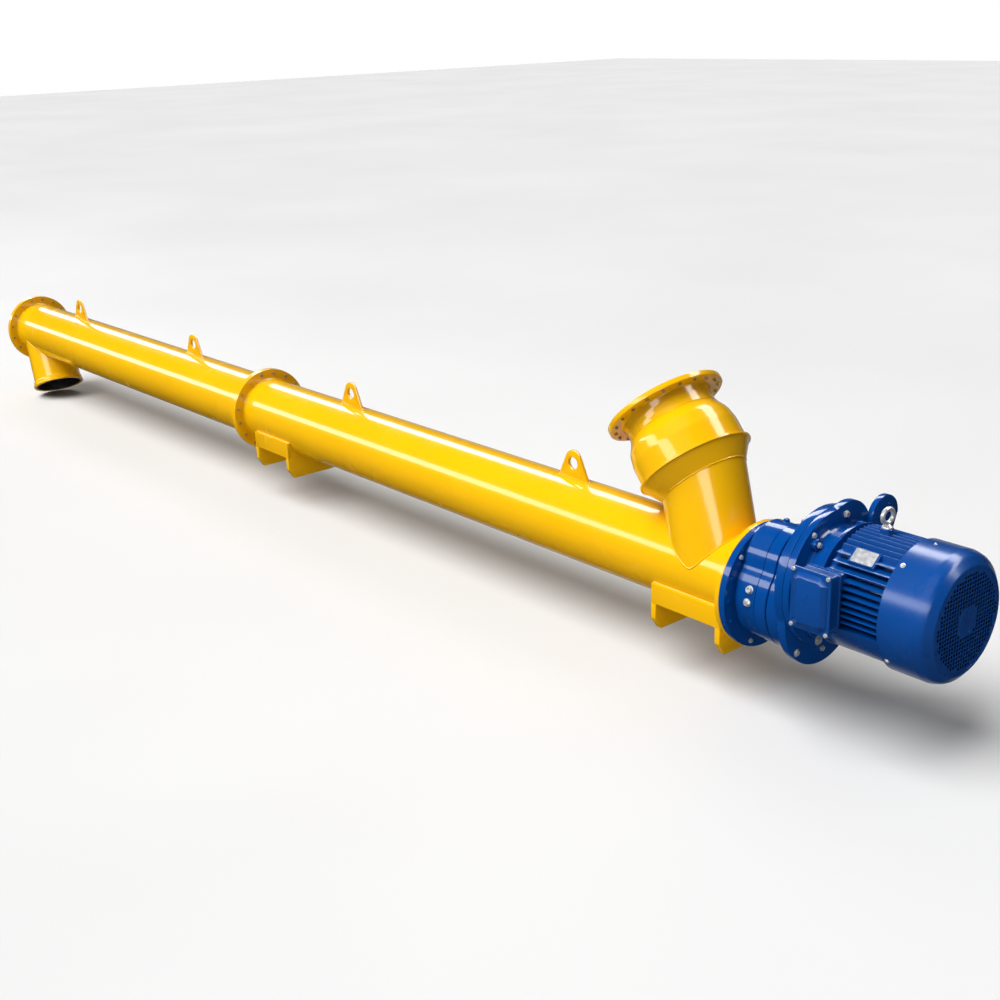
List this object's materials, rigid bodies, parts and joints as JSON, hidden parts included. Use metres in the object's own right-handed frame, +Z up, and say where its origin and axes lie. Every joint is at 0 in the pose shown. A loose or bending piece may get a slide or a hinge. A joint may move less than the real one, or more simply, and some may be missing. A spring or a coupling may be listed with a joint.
{
  "type": "tubular screw conveyor",
  "caption": "Long tubular screw conveyor with a leaning flanged inlet, a downward spout, lifting lugs, two saddle supports and a geared motor drive.",
  "frame": {"origin": "middle of the foot face of the drive saddle's plate nearest the motor", "axes": "+X along the tube towards the motor, +Z up, -Y the side that the terminal box is on"},
  "size_m": [6.0156, 0.523, 0.9375],
  "materials": {
    "yellow_paint": "glossy yellow enamel over welded steel",
    "blue_paint": "glossy blue enamel over cast housings",
    "black_liner": "matt black liner",
    "screw_steel": "plain rolled steel",
    "zinc": "bright zinc plating"
  },
  "bodies": {
    "root": {"tube_outlet_section": "yellow_paint", "tube_inlet_section": "yellow_paint", "outlet_flange": "yellow_paint", "joint_flange_outlet_side": "yellow_paint", "joint_flange_inlet_side": "yellow_paint", "drive_flange": "yellow_paint", "outlet_end_plate": "yellow_paint", "end_bearing_housing": "yellow_paint", "outlet_spout": "yellow_paint", "outlet_spout_collar": "yellow_paint", "outlet_spout_liner": "black_liner", "inlet_lower_pipe": "yellow_paint", "inlet_cone": "yellow_paint", "inlet_seam_ring": "yellow_paint", "inlet_shell": "yellow_paint", "inlet_neck": "yellow_paint", "inlet_top_flange": "yellow_paint", "lifting_lug_1": "yellow_paint", "lifting_lug_2": "yellow_paint", "lifting_lug_3": "yellow_paint", "lifting_lug_4": "yellow_paint", "mid_saddle_plate_1": "yellow_paint", "mid_saddle_plate_2": "yellow_paint", "mid_saddle_strip_near": "yellow_paint", "mid_saddle_strip_far": "yellow_paint", "drive_saddle_plate_1": "yellow_paint", "drive_saddle_plate_2": "yellow_paint", "drive_saddle_strip_near": "yellow_paint", "drive_saddle_strip_far": "yellow_paint", "screw_shaft": "screw_steel", "screw_flight": "screw_steel", "gearbox_mounting_flange": "blue_paint", "gearbox_front_housing": "blue_paint", "gearbox_ring": "blue_paint", "gearbox_rear_housing": "blue_paint", "gearbox_rear_flange": "blue_paint", "lobed_adapter_flange": "blue_paint", "motor_adapter_bell": "blue_paint", "motor_frame": "blue_paint", "motor_rear_shield": "blue_paint", "fan_cover": "blue_paint", "fan_grille": "blue_paint", "terminal_box": "blue_paint", "terminal_box_lid": "blue_paint", "eye_bolt": "zinc"}
  },
  "joints": []
}
